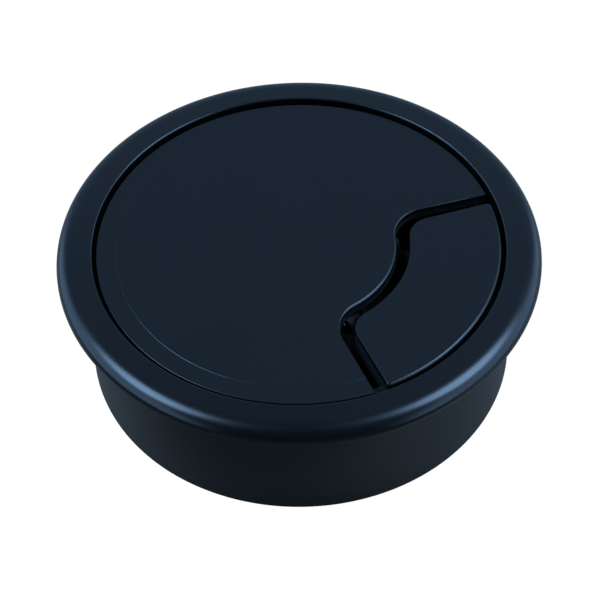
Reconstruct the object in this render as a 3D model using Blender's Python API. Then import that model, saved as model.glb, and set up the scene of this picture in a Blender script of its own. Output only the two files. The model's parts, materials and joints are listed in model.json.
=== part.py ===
"""Desk grommet: a round liner for a hole in a desk top, with a turning cover and a sprung cable flap.

The part stands on the bottom rim of its sleeve. +Z is up, the origin is on the centre line at the
bottom rim, and the cable flap points along +X.
"""
import math

import bmesh
import bpy
from mathutils import Matrix, Vector

MM = 0.001

# Liner: the flange rests on the desk top and the sleeve goes into the hole
HEIGHT = 21.0 * MM
FLANGE_RADIUS = 33.6 * MM
FLANGE_THICKNESS = 2.3 * MM
FLANGE_EDGE = 0.15 * MM
RING_SLOPE = math.radians(5)
RIM_WIDTH = 2.7 * MM
RIM_DROP = 1.8 * MM
SLEEVE_RADIUS = 29.95 * MM
BORE_RADIUS = 28.6 * MM
BORE_EDGE = 0.2 * MM
SLEEVE_END_CHAMFER = 0.35 * MM

# Snap joint: a bead on the cover's fingers runs in a groove in the bore
SNAP_DEPTH = 5.6 * MM
BEAD_HEIGHT = 1.0 * MM
BEAD_RADIUS = 28.85 * MM
GROOVE_RADIUS = 29.2 * MM
GROOVE_HEIGHT = 1.8 * MM
GROOVE_SLOPE = 0.3 * MM

# Cover: a plate that lies a little below the ring, and a skirt of snap fingers
LID_DROP = 0.58 * MM
COVER_RADIUS = 28.05 * MM
COVER_EDGE = 0.15 * MM
PLATE_THICKNESS = 1.52 * MM
SKIRT_RADIUS = 27.65 * MM
SKIRT_WALL = 1.2 * MM
SKIRT_DEPTH = 6.8 * MM
SKIRT_WINDOW_ANGLE = math.radians(51)
FINGER_COUNT = 6
FINGER_SLOT = 3.0 * MM

# Cable cut-out in the cover, and the flap that fills it, whose outer end rises a little
CUTOUT_ANGLE = math.radians(41)
CUTOUT_SPREAD = 1.56 * MM
CUTOUT_RADIUS = 13.55 * MM
CUTOUT_FILLET = 4.8 * MM
CUTOUT_EDGE = 0.45 * MM
CUTOUT_SIDE_EDGE = 0.14 * MM
SLOT_WIDTH = 1.94 * MM
FLAP_RISE = math.radians(1.8)
FLAP_RADIUS = 28.1 * MM
FLAP_INNER_FILLET = 3.4 * MM
FLAP_OUTER_FILLET = 0.4 * MM
FLAP_EDGE = 0.5 * MM
FLAP_SIDE_EDGE = 0.08 * MM
FLAP_WALL = 1.4 * MM
FLAP_SKIN = 1.1 * MM

# Stop ears at the flap's outer corners, which meet the cover from below
EAR_TOP_DEPTH = 2.4 * MM
EAR_THICKNESS = 1.6 * MM
EAR_OVERLAP = 1.0 * MM
EAR_INNER_RADIUS = 26.1 * MM
EAR_OUTER_RADIUS = 27.2 * MM

# Flap hinge under the cover
HINGE_X = 10.5 * MM
HINGE_DEPTH = 3.8 * MM
PIN_RADIUS = 0.6 * MM
PIN_HALF_LENGTH = 8.7 * MM
PIN_END_CHAMFER = 0.15 * MM
RUNNING_GAP = 0.3 * MM
LUG_RADIUS = 1.5 * MM
LUG_INNER_Y = 3.3 * MM
LUG_WIDTH = 2.0 * MM
KNUCKLE_RADIUS = 1.35 * MM
KNUCKLE_INNER_Y = 5.8 * MM
KNUCKLE_WIDTH = 2.6 * MM
ARM_RIDGE_RISE = 0.8 * MM
ARM_SHOULDER_DROP = 0.75 * MM
ARM_END_X = 15.5 * MM

# Torsion spring round the pin, with one leg under the cover and one under the flap
WIRE_RADIUS = 0.225 * MM
WIRE_BEVEL_STEPS = 1
COIL_RADIUS = 1.15 * MM
COIL_TURNS = 5
COIL_HALF_LENGTH = 2.6 * MM
COIL_POINTS_PER_TURN = 10
COVER_LEG_END = Vector((-6.0 * MM, 1.1 * MM))
FLAP_LEG_END = Vector((6.2 * MM, -0.65 * MM))

# Fineness of round shapes
SEGMENTS = 96
PIN_SEGMENTS = 24
RIM_STEPS = 7
ARC_STEPS = 18
FILLET_STEPS = 5
EDGE_STEPS = 2
SMOOTH_ANGLE = math.radians(30)

# Lengths by which a cutting or joining body runs past the surface that it crosses
PAST = 2.0 * MM
SUNK = 0.4 * MM
MERGE_DISTANCE = 0.001 * MM

HINGE = Vector((HINGE_X, 0.0, HEIGHT - HINGE_DEPTH))
LID_TOP = HEIGHT - LID_DROP
PLATE_BOTTOM = LID_TOP - PLATE_THICKNESS
EAR_TOP = HEIGHT - EAR_TOP_DEPTH
EAR_BOTTOM = EAR_TOP - EAR_THICKNESS

# Finishes
BLACK_PLASTIC = (0.013, 0.017, 0.025)
LINER_ROUGHNESS = 0.38
LID_ROUGHNESS = 0.42
STEEL = (0.55, 0.56, 0.58)
PIN_ROUGHNESS = 0.25
SPRING_ROUGHNESS = 0.3


def clear_scene():
    """Removes every object that the open file holds."""
    for item in list(bpy.data.objects):
        bpy.data.objects.remove(item, do_unlink=True)


def make_material(name, colour, roughness, metallic):
    """A Principled material of one colour."""
    material = bpy.data.materials.new(name)
    material.use_nodes = True
    shader = material.node_tree.nodes["Principled BSDF"]
    shader.inputs["Base Color"].default_value = (*colour, 1.0)
    shader.inputs["Roughness"].default_value = roughness
    shader.inputs["Metallic"].default_value = metallic
    return material


def link_object(name, data, material, origin=Vector()):
    """An object with its origin at a point of the part's frame."""
    data.materials.append(material)
    item = bpy.data.objects.new(name, data)
    item.location = origin
    bpy.context.collection.objects.link(item)
    return item


def mesh_from(body, name, origin=Vector()):
    """A smooth-shaded mesh from a bmesh in the part's frame, measured from the origin given."""
    bmesh.ops.translate(body, verts=body.verts, vec=-origin)
    bmesh.ops.recalc_face_normals(body, faces=body.faces)
    mesh = bpy.data.meshes.new(name)
    body.to_mesh(mesh)
    body.free()
    mesh.shade_smooth()
    mesh.set_sharp_from_angle(angle=SMOOTH_ANGLE)
    return mesh


def make_tool(name, body):
    """A guide body that cuts or joins another piece and isn't a piece itself."""
    tool = bpy.data.objects.new(name, mesh_from(body, name))
    tool.hide_render = True
    tool.display_type = "WIRE"
    bpy.context.collection.objects.link(tool)
    return tool


def combine(piece, tool, operation):
    """Adds a Boolean of the tool to a piece."""
    modifier = piece.modifiers.new(tool.name, "BOOLEAN")
    modifier.operation = operation
    modifier.solver = "EXACT"
    modifier.object = tool


def revolve(profile, segments):
    """A closed body of revolution about Z from a closed profile of (radius, height) points."""
    body = bmesh.new()
    verts = [body.verts.new((radius, 0.0, height)) for radius, height in profile]
    edges = [body.edges.new((verts[i - 1], verts[i])) for i in range(1, len(verts))]
    if profile[0][0] > 0.0:
        edges.append(body.edges.new((verts[-1], verts[0])))
    bmesh.ops.spin(
        body,
        geom=verts + edges,
        cent=(0.0, 0.0, 0.0),
        axis=(0.0, 0.0, 1.0),
        angle=math.tau,
        steps=segments,
        use_merge=True,
    )
    bmesh.ops.remove_doubles(body, verts=body.verts, dist=MERGE_DISTANCE)
    return body


def loft(layers):
    """An upright body through layers of (height, outline), each with as many (x, y) points as the last."""
    body = bmesh.new()
    rings = []
    for height, outline in layers:
        verts = [body.verts.new((x, y, height)) for x, y in outline]
        rings.append([body.edges.new((verts[i - 1], verts[i])) for i in range(len(verts))])
    for below, above in zip(rings, rings[1:]):
        bmesh.ops.bridge_loops(body, edges=below + above)
    bmesh.ops.holes_fill(body, edges=rings[0] + rings[-1])
    return body


def prism(outline, low, high):
    """An upright body with a flat outline of (x, y) points."""
    return loft([(low, outline), (high, outline)])


def pushed(points, travel):
    """A body with a flat outline, pushed along a vector."""
    body = bmesh.new()
    face = body.faces.new([body.verts.new(point) for point in points])
    moved = bmesh.ops.extrude_face_region(body, geom=[face])["geom"]
    end = [vert for vert in moved if isinstance(vert, bmesh.types.BMVert)]
    bmesh.ops.translate(body, verts=end, vec=travel)
    return body


def side_prism(outline, low, high):
    """A body whose flat outline of (x, z) points runs along Y."""
    return pushed([(x, low, z) for x, z in outline], (0.0, high - low, 0.0))


def arc(centre, radius, start, end, steps):
    """Points on an arc about a flat centre, both ends included."""
    angles = [start + (end - start) * i / steps for i in range(steps + 1)]
    return [(centre[0] + radius * math.cos(a), centre[1] + radius * math.sin(a)) for a in angles]


def polar(radius, angle):
    """The flat point at a radius and angle about the centre line."""
    return radius * math.cos(angle), radius * math.sin(angle)


def half_sector(inner, outer, inset, inner_fillet, outer_fillet):
    """The upper half of the cut-out's outline, from its middle on the inner arc to the outer one.

    The side runs along the ray at CUTOUT_ANGLE, moved out by CUTOUT_SPREAD and in by the inset.
    """
    shift = inset - CUTOUT_SPREAD
    inner_turn = CUTOUT_ANGLE - math.asin((shift + inner_fillet) / (inner + inner_fillet))
    outer_turn = CUTOUT_ANGLE - math.asin((shift + outer_fillet) / (outer - outer_fillet))
    inner_centre = polar(inner + inner_fillet, inner_turn)
    outer_centre = polar(outer - outer_fillet, outer_turn)
    square = CUTOUT_ANGLE + math.pi / 2
    points = arc((0.0, 0.0), inner, 0.0, inner_turn, ARC_STEPS)[:-1]
    points += arc(inner_centre, inner_fillet, inner_turn + math.pi, square, FILLET_STEPS)
    points += arc(outer_centre, outer_fillet, square, outer_turn, FILLET_STEPS)
    points += arc((0.0, 0.0), outer, outer_turn, 0.0, ARC_STEPS)[1:]
    return points


def mirrored(half):
    """A closed outline from a half that starts and ends on the X axis."""
    return half + [(x, -y) for x, y in reversed(half[1:-1])]


def edge_steps(size):
    """A rounded edge as steps of (depth below the top, share of the edge's width)."""
    turns = [math.pi / 2 * i / EDGE_STEPS for i in range(EDGE_STEPS + 1)]
    return [(size * (1 - math.sin(turn)), 1 - math.cos(turn)) for turn in turns]


def cutout_outline(flare):
    """The cut-out, open past the cover's edge, with a share of its edge's rounding."""
    return mirrored(half_sector(
        CUTOUT_RADIUS - flare * CUTOUT_EDGE,
        COVER_RADIUS + PAST,
        -flare * CUTOUT_SIDE_EDGE,
        CUTOUT_FILLET + flare * CUTOUT_EDGE,
        SUNK,
    ))


def cutout_tool():
    """Cutter for the cut-out, which flares at the lid's top to round the edge."""
    layers = [(HEIGHT - SKIRT_DEPTH - PAST, cutout_outline(0.0))]
    layers += [(LID_TOP - depth, cutout_outline(flare)) for depth, flare in edge_steps(CUTOUT_EDGE)]
    layers.append((HEIGHT + PAST, cutout_outline(1.0)))
    return make_tool("cable_cutout", loft(layers))


def flap_outline(inset, outer_inset):
    """The flap's land, drawn in at its sides and inner end, and at its outer end."""
    return mirrored(half_sector(
        CUTOUT_RADIUS + SLOT_WIDTH + inset,
        FLAP_RADIUS - outer_inset,
        SLOT_WIDTH + inset,
        FLAP_INNER_FILLET,
        FLAP_OUTER_FILLET,
    ))


def ears_outline():
    """A bow along the flap's outer edge, whose ends reach under the cover."""
    shift = CUTOUT_SPREAD + EAR_OVERLAP
    outer_turn = CUTOUT_ANGLE + math.asin(shift / EAR_OUTER_RADIUS)
    inner_turn = CUTOUT_ANGLE + math.asin(shift / EAR_INNER_RADIUS)
    outline = arc((0.0, 0.0), EAR_OUTER_RADIUS, -outer_turn, outer_turn, 2 * ARC_STEPS)
    return outline + arc((0.0, 0.0), EAR_INNER_RADIUS, inner_turn, -inner_turn, 2 * ARC_STEPS)


def eye_outline(radius):
    """A round hinge eye about the pin, as (x, z) points."""
    return arc((HINGE.x, HINGE.z), radius, 0.0, math.tau, PIN_SEGMENTS)[:-1]


def pin_hole_tool(name):
    """Cutter for a running hole round the pin."""
    reach = PIN_HALF_LENGTH + PAST
    return make_tool(name, side_prism(eye_outline(PIN_RADIUS + RUNNING_GAP), -reach, reach))


def rim_curve():
    """The flange's top: a ring that slopes down a little, then part of an ellipse out to the edge."""
    start = math.atan2(RIM_DROP / RIM_WIDTH, math.tan(RING_SLOPE))
    centre = FLANGE_RADIUS - RIM_WIDTH
    inner = BORE_RADIUS + BORE_EDGE
    ring_end = HEIGHT - (centre + RIM_WIDTH * math.cos(start) - inner) * math.tan(RING_SLOPE)
    level = ring_end - RIM_DROP * math.sin(start)
    turns = [start * (1 - i / RIM_STEPS) for i in range(RIM_STEPS + 1)]
    return [(inner, HEIGHT)] + [
        (centre + RIM_WIDTH * math.cos(turn), level + RIM_DROP * math.sin(turn)) for turn in turns
    ]


def make_liner(material):
    """Flange and sleeve in one turned shape, with the snap groove in its bore."""
    under = HEIGHT - FLANGE_THICKNESS
    groove_top = HEIGHT - SNAP_DEPTH + GROOVE_HEIGHT / 2
    groove_bottom = groove_top - GROOVE_HEIGHT
    profile = rim_curve()
    profile += [
        (FLANGE_RADIUS, under + FLANGE_EDGE),
        (FLANGE_RADIUS - FLANGE_EDGE, under),
        (SLEEVE_RADIUS, under),
        (SLEEVE_RADIUS, SLEEVE_END_CHAMFER),
        (SLEEVE_RADIUS - SLEEVE_END_CHAMFER, 0.0),
        (BORE_RADIUS + SLEEVE_END_CHAMFER, 0.0),
        (BORE_RADIUS, SLEEVE_END_CHAMFER),
        (BORE_RADIUS, groove_bottom),
        (GROOVE_RADIUS, groove_bottom + GROOVE_SLOPE),
        (GROOVE_RADIUS, groove_top - GROOVE_SLOPE),
        (BORE_RADIUS, groove_top),
    ]
    edge_centre = (BORE_RADIUS + BORE_EDGE, HEIGHT - BORE_EDGE)
    profile += arc(edge_centre, BORE_EDGE, math.pi, math.pi / 2, EDGE_STEPS)[:-1]
    return link_object("liner", mesh_from(revolve(profile, SEGMENTS), "liner"), material)


def cover_profile():
    """Half section of the cover, from the centre line over the plate and round the skirt."""
    bead = HEIGHT - SNAP_DEPTH
    end = HEIGHT - SKIRT_DEPTH
    inside = SKIRT_RADIUS - SKIRT_WALL
    return [
        (0.0, LID_TOP),
        (COVER_RADIUS - COVER_EDGE, LID_TOP),
        (COVER_RADIUS, LID_TOP - COVER_EDGE),
        (COVER_RADIUS, PLATE_BOTTOM),
        (SKIRT_RADIUS, PLATE_BOTTOM - COVER_EDGE),
        (SKIRT_RADIUS, bead + BEAD_HEIGHT / 2),
        (BEAD_RADIUS, bead),
        (SKIRT_RADIUS, bead - BEAD_HEIGHT / 2),
        (SKIRT_RADIUS, end + COVER_EDGE),
        (SKIRT_RADIUS - COVER_EDGE, end),
        (inside, end),
        (inside, PLATE_BOTTOM),
        (0.0, PLATE_BOTTOM),
    ]


def skirt_window_tool():
    """Cutter that keeps the skirt out of the flap's path."""
    reach = BEAD_RADIUS + PAST
    inside = SKIRT_RADIUS - SKIRT_WALL - SUNK
    outline = arc((0.0, 0.0), reach, -SKIRT_WINDOW_ANGLE, SKIRT_WINDOW_ANGLE, ARC_STEPS)
    outline += arc((0.0, 0.0), inside, SKIRT_WINDOW_ANGLE, -SKIRT_WINDOW_ANGLE, ARC_STEPS)
    return make_tool("skirt_window", prism(outline, HEIGHT - SKIRT_DEPTH - PAST, PLATE_BOTTOM))


def finger_slot_tool(number):
    """Cutter for one of the gaps that part the skirt into fingers."""
    share = number / FINGER_COUNT
    turn = SKIRT_WINDOW_ANGLE + (math.tau - 2 * SKIRT_WINDOW_ANGLE) * share
    inside = SKIRT_RADIUS - SKIRT_WALL - SUNK
    size = Vector((BEAD_RADIUS + PAST - inside, FINGER_SLOT, PLATE_BOTTOM - HEIGHT + SKIRT_DEPTH + PAST))
    centre = Vector((inside + size.x / 2, 0.0, PLATE_BOTTOM - size.z / 2))
    body = bmesh.new()
    bmesh.ops.create_cube(body, size=1.0)
    bmesh.ops.scale(body, verts=body.verts, vec=size)
    bmesh.ops.translate(body, verts=body.verts, vec=centre)
    bmesh.ops.rotate(body, verts=body.verts, matrix=Matrix.Rotation(turn, 3, "Z"))
    return make_tool(f"finger_slot_{number}", body)


def lug_tool(name, low):
    """One of the cover's two hinge lugs, sunk a little into the plate."""
    top = PLATE_BOTTOM + SUNK
    outline = arc((HINGE.x, HINGE.z), LUG_RADIUS, math.pi, math.tau, PIN_SEGMENTS // 2)
    outline += [(HINGE.x + LUG_RADIUS, top), (HINGE.x - LUG_RADIUS, top)]
    return make_tool(name, side_prism(outline, low, low + LUG_WIDTH))


def make_cover(material):
    """The turned lid with its cut-out, its snap fingers and the lugs that hold the pin."""
    cover = link_object("cover", mesh_from(revolve(cover_profile(), SEGMENTS), "cover"), material)
    combine(cover, cutout_tool(), "DIFFERENCE")
    combine(cover, skirt_window_tool(), "DIFFERENCE")
    for number in range(1, FINGER_COUNT):
        combine(cover, finger_slot_tool(number), "DIFFERENCE")
    combine(cover, lug_tool("left_lug", LUG_INNER_Y), "UNION")
    combine(cover, lug_tool("right_lug", -LUG_INNER_Y - LUG_WIDTH), "UNION")
    combine(cover, pin_hole_tool("cover_pin_hole"), "DIFFERENCE")
    return cover


def flap_land():
    """The flap's block, with its top edge rounded, turned up a little about the hinge."""
    layers = [(EAR_BOTTOM, flap_outline(0.0, 0.0))]
    for depth, inset in edge_steps(FLAP_EDGE):
        layers.append((LID_TOP - depth, flap_outline(inset * FLAP_SIDE_EDGE, inset * FLAP_EDGE)))
    body = loft(layers)
    bmesh.ops.rotate(body, verts=body.verts, cent=HINGE, matrix=Matrix.Rotation(-FLAP_RISE, 3, "Y"))
    return body


def arm_tool(name, low):
    """One of the flap's two ridged arms, from the pin into the wall at the flap's inner end."""
    high = low + KNUCKLE_WIDTH
    outline = [
        (low, HINGE.z - KNUCKLE_RADIUS),
        (high, HINGE.z - KNUCKLE_RADIUS),
        (high, HINGE.z - ARM_SHOULDER_DROP),
        ((low + high) / 2, HINGE.z + ARM_RIDGE_RISE),
        (low, HINGE.z - ARM_SHOULDER_DROP),
    ]
    return make_tool(name, pushed([(HINGE.x, y, z) for y, z in outline], (ARM_END_X - HINGE.x, 0.0, 0.0)))


def make_flap(material, cover):
    """The small lid with its stop ears, hollow underside and hinge knuckles. It turns about its origin."""
    flap = link_object("flap", mesh_from(flap_land(), "flap", HINGE), material, HINGE)
    flap.parent = cover
    combine(flap, make_tool("stop_ears", prism(ears_outline(), EAR_BOTTOM, EAR_TOP)), "UNION")
    pocket = prism(flap_outline(FLAP_WALL, FLAP_WALL), EAR_BOTTOM - PAST, LID_TOP - FLAP_SKIN)
    combine(flap, make_tool("flap_pocket", pocket), "DIFFERENCE")
    for side, low in (("left", KNUCKLE_INNER_Y), ("right", -KNUCKLE_INNER_Y - KNUCKLE_WIDTH)):
        eye = side_prism(eye_outline(KNUCKLE_RADIUS), low, low + KNUCKLE_WIDTH)
        combine(flap, arm_tool(f"{side}_arm", low), "UNION")
        combine(flap, make_tool(f"{side}_knuckle", eye), "UNION")
    combine(flap, pin_hole_tool("flap_pin_hole"), "DIFFERENCE")
    return flap


def make_hinge_pin(material, cover):
    """A plain steel pin along Y with chamfered ends."""
    half = PIN_HALF_LENGTH
    tip = PIN_RADIUS - PIN_END_CHAMFER
    profile = [
        (0.0, half),
        (tip, half),
        (PIN_RADIUS, half - PIN_END_CHAMFER),
        (PIN_RADIUS, PIN_END_CHAMFER - half),
        (tip, -half),
        (0.0, -half),
    ]
    pin = link_object("hinge_pin", mesh_from(revolve(profile, PIN_SEGMENTS), "hinge_pin"), material, HINGE)
    pin.rotation_euler = (math.pi / 2, 0.0, 0.0)
    pin.parent = cover


def leg_turn(end):
    """The angle on the coil, below the pin, where a straight leg to an end point leaves it."""
    bearing = math.atan2(end.y, end.x)
    spread = math.acos(COIL_RADIUS / end.length)
    return bearing - spread if end.x > 0 else bearing + spread


def spring_path():
    """Points along the wire, from the cover leg's tip over the coil to the flap leg's tip."""
    start = leg_turn(COVER_LEG_END)
    finish = leg_turn(FLAP_LEG_END)
    sweep = (finish - start) % math.tau + math.tau * COIL_TURNS
    count = round(sweep / math.tau * COIL_POINTS_PER_TURN)
    path = [Vector((COVER_LEG_END.x, COIL_HALF_LENGTH, COVER_LEG_END.y))]
    for i in range(count + 1):
        share = i / count
        turn = start + sweep * share
        along = COIL_HALF_LENGTH * (1 - 2 * share)
        path.append(Vector((COIL_RADIUS * math.cos(turn), along, COIL_RADIUS * math.sin(turn))))
    path.append(Vector((FLAP_LEG_END.x, -COIL_HALF_LENGTH, FLAP_LEG_END.y)))
    return path


def least_gap(path):
    """The least distance between the wire's surface and itself, over points half a turn or more apart."""
    apart = COIL_POINTS_PER_TURN // 2
    pairs = ((a, b) for i, a in enumerate(path) for b in path[i + apart:])
    return min((a - b).length for a, b in pairs) - 2 * WIRE_RADIUS


def make_spring(material, cover):
    """One unbroken wire wound round the pin."""
    path = spring_path()
    curve = bpy.data.curves.new("torsion_spring", "CURVE")
    curve.dimensions = "3D"
    curve.bevel_depth = WIRE_RADIUS
    curve.bevel_resolution = WIRE_BEVEL_STEPS
    curve.use_fill_caps = True
    spline = curve.splines.new("POLY")
    spline.points.add(len(path) - 1)
    for point, place in zip(spline.points, path):
        point.co = (*place, 1.0)
    spring = link_object("torsion_spring", curve, material, HINGE)
    spring.parent = cover
    print(f"torsion_spring: least gap to itself {least_gap(path) / MM:.2f} mm")


def main():
    clear_scene()
    make_liner(make_material("liner_plastic", BLACK_PLASTIC, LINER_ROUGHNESS, 0.0))
    cover = make_cover(make_material("cover_plastic", BLACK_PLASTIC, LID_ROUGHNESS, 0.0))
    make_flap(make_material("flap_plastic", BLACK_PLASTIC, LID_ROUGHNESS, 0.0), cover)
    make_hinge_pin(make_material("pin_steel", STEEL, PIN_ROUGHNESS, 1.0), cover)
    make_spring(make_material("spring_steel", STEEL, SPRING_ROUGHNESS, 1.0), cover)


main()
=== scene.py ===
"""Looks of a desk grommet: a flanged liner, a turning cover and a sprung cable flap on a steel pin."""
import json
import math

import bmesh
import bpy
from bpy.props import FloatProperty, FloatVectorProperty, IntProperty, PointerProperty
from mathutils import Matrix, Vector


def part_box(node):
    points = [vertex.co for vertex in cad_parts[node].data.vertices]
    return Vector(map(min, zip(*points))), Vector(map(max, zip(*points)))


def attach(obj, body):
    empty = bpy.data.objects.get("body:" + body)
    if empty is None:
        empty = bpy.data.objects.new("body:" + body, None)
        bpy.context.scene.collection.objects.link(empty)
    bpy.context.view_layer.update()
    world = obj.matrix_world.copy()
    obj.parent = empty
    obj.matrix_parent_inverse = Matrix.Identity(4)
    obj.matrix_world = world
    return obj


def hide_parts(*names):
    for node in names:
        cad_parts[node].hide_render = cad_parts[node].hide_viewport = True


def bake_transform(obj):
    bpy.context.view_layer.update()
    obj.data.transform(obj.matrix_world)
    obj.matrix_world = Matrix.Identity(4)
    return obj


bl_info = {
    "name": "Desk grommet",
    "version": (1, 0, 0),
    "blender": (4, 5, 0),
    "location": "3D View > Sidebar > Grommet",
    "description": "Makes the pieces, finishes and stage of a desk grommet round its fixed frame",
    "category": "Object",
}

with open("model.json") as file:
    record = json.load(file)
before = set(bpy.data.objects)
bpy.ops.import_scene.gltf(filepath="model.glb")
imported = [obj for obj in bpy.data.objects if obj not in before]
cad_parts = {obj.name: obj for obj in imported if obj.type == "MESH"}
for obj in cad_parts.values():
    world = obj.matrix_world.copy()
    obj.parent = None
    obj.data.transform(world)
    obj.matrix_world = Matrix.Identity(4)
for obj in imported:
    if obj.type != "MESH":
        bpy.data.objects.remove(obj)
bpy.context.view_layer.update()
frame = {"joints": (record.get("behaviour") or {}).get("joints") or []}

MM = 0.001
LINER_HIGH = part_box("liner")[1]
COVER_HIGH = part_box("cover")[1]
PIN_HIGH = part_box("hinge_pin")[1]
HEIGHT = LINER_HIGH.z
HINGE = Vector(next(joint["pos_m"] for joint in frame["joints"] if joint["name"] == "flap_tilt"))
UP = Vector((0.0, 0.0, 1.0))

# Fineness of the meshes
TURN_SEGMENTS = 288
STAGE_SEGMENTS = 96
PIN_SEGMENTS = 48
WIRE_SIDES = 16
COIL_STEPS_PER_TURN = 40
RIM_STEPS = 28
ARC_STEPS = 40
FILLET_STEPS = 14
EDGE_STEPS = 4
FINE_EDGE_STEPS = 8
MERGE_DISTANCE = 0.0005 * MM

# An edge that bends more than the first is drawn sharp, and faces that bend less than the second become one
SHARP_ANGLE = math.radians(38)
FLAT_ANGLE = math.radians(0.05)

# Lengths by which a cutting or joining body runs past the surface that it crosses
PAST = 2.0 * MM
SUNK = 0.4 * MM

# Size of the square picture, in pixels
PICTURE = 600

# Detail of the noise in the finishes, and its middle value
CLOUD_DETAIL = 3.0
GRAIN_DETAIL = 2.0
LINE_DETAIL = 3.0
NOISE_MIDDLE = 0.5

# Places of the colour sockets on a Mix node
MIX_FACTOR = 0
MIX_FIRST = 6
MIX_SECOND = 7
MIX_RESULT = 2

# Plain colours with their alpha
BLACK = (0.0, 0.0, 0.0, 1.0)
WHITE = (1.0, 1.0, 1.0, 1.0)


def length(name, description, default):
    """A property that holds a size in metres."""
    return FloatProperty(name=name, description=description, default=default, unit="LENGTH", precision=5)


def turn(name, description, degrees):
    """A property that holds an angle."""
    return FloatProperty(name=name, description=description, default=math.radians(degrees), subtype="ANGLE")


def share(name, description, default):
    """A property that holds a share from nothing to all."""
    return FloatProperty(
        name=name, description=description, default=default, min=0.0, max=1.0, subtype="FACTOR"
    )


def colour(name, description, default):
    """A property that holds a linear colour."""
    return FloatVectorProperty(name=name, description=description, default=default, size=3, subtype="COLOR")


class LinerSizes(bpy.types.PropertyGroup):
    """Sizes of the flange and sleeve."""

    flange_radius: length("Flange radius", "Outer radius of the flange", LINER_HIGH.x)
    flange_thickness: length("Flange thickness", "Height of the flange over the desk top", 2.3 * MM)
    flange_edge: length("Flange edge", "Rounding of the flange's lower edge", 0.15 * MM)
    ring_slope: turn("Ring slope", "Slope of the flange's upper ring, down to the outside", 5)
    rim_width: length("Rim width", "Width of the ellipse that rounds the rim", 2.7 * MM)
    rim_drop: length("Rim drop", "Height of the ellipse that rounds the rim", 1.8 * MM)
    sleeve_radius: length("Sleeve radius", "Outer radius of the sleeve", 29.95 * MM)
    sleeve_end: length("Sleeve end", "Rounding of the sleeve's lower edges", 0.35 * MM)
    root_fillet: length("Root fillet", "Rounding between the sleeve and the flange", 0.2 * MM)
    bore_radius: length("Bore radius", "Inner radius of the sleeve", 28.6 * MM)
    bore_edge: length("Bore edge", "Rounding of the bore's upper edge", 0.25 * MM)
    groove_radius: length("Groove radius", "Radius of the snap groove's floor", 29.2 * MM)
    groove_depth: length("Groove depth", "Depth of the snap groove's middle below the top", 5.6 * MM)
    groove_height: length("Groove height", "Height of the snap groove", 1.8 * MM)
    groove_slope: length("Groove slope", "Height of the groove's slanted sides", 0.3 * MM)


class CoverSizes(bpy.types.PropertyGroup):
    """Sizes of the round lid, its cut-out and its snap fingers."""

    drop: length("Drop", "Depth of the lid's top below the ring", 0.58 * MM)
    radius: length("Radius", "Outer radius of the lid", 28.05 * MM)
    edge: length("Edge", "Rounding of the lid's outer edge", 0.15 * MM)
    panel_radius: length("Panel radius", "Radius of the raised panel", 25.3 * MM)
    panel_step: length("Panel step", "Height of the raised panel over the border", 0.035 * MM)
    panel_slope: length("Panel slope", "Width of the slope round the raised panel", 0.075 * MM)
    panel_edge: length("Panel edge", "Rounding of the slope's upper and lower edges", 0.03 * MM)
    plate: length("Plate", "Thickness of the lid", 1.52 * MM)
    skirt_radius: length("Skirt radius", "Outer radius of the snap fingers", 27.65 * MM)
    skirt_wall: length("Skirt wall", "Thickness of the snap fingers", 1.2 * MM)
    skirt_depth: length("Skirt depth", "Depth of the snap fingers' ends below the top", 6.8 * MM)
    bead_radius: length("Bead radius", "Radius of the snap bead", COVER_HIGH.y)
    bead_depth: length("Bead depth", "Depth of the snap bead below the top", 5.6 * MM)
    bead_height: length("Bead height", "Height of the snap bead", 1.0 * MM)
    window: turn("Window", "Half angle of the skirt's gap under the flap", 51)
    fingers: IntProperty(name="Fingers", description="Number of snap fingers", default=6, min=2)
    finger_gap: length("Finger gap", "Width of the gaps between the fingers", 3.0 * MM)
    cutout_angle: turn("Cut-out angle", "Half angle between the cut-out's sides", 41)
    cutout_spread: length("Cut-out spread", "Distance of the sides from rays through the middle", 1.56 * MM)
    cutout_radius: length("Cut-out radius", "Radius of the cut-out's inner end", 13.55 * MM)
    cutout_fillet: length("Cut-out fillet", "Rounding of the cut-out's inner corners", 4.8 * MM)
    cutout_edge: length("Cut-out edge", "Rounding of the upper edge at the cut-out's inner end", 0.45 * MM)
    cutout_side_edge: length("Cut-out side edge", "Width of the rounding at the cut-out's sides", 0.14 * MM)
    lug_radius: length("Lug radius", "Radius of the hinge lugs", 1.5 * MM)
    lug_start: length("Lug start", "Distance of the hinge lugs from the middle", 3.3 * MM)
    lug_width: length("Lug width", "Width of a hinge lug", 2.0 * MM)


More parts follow.
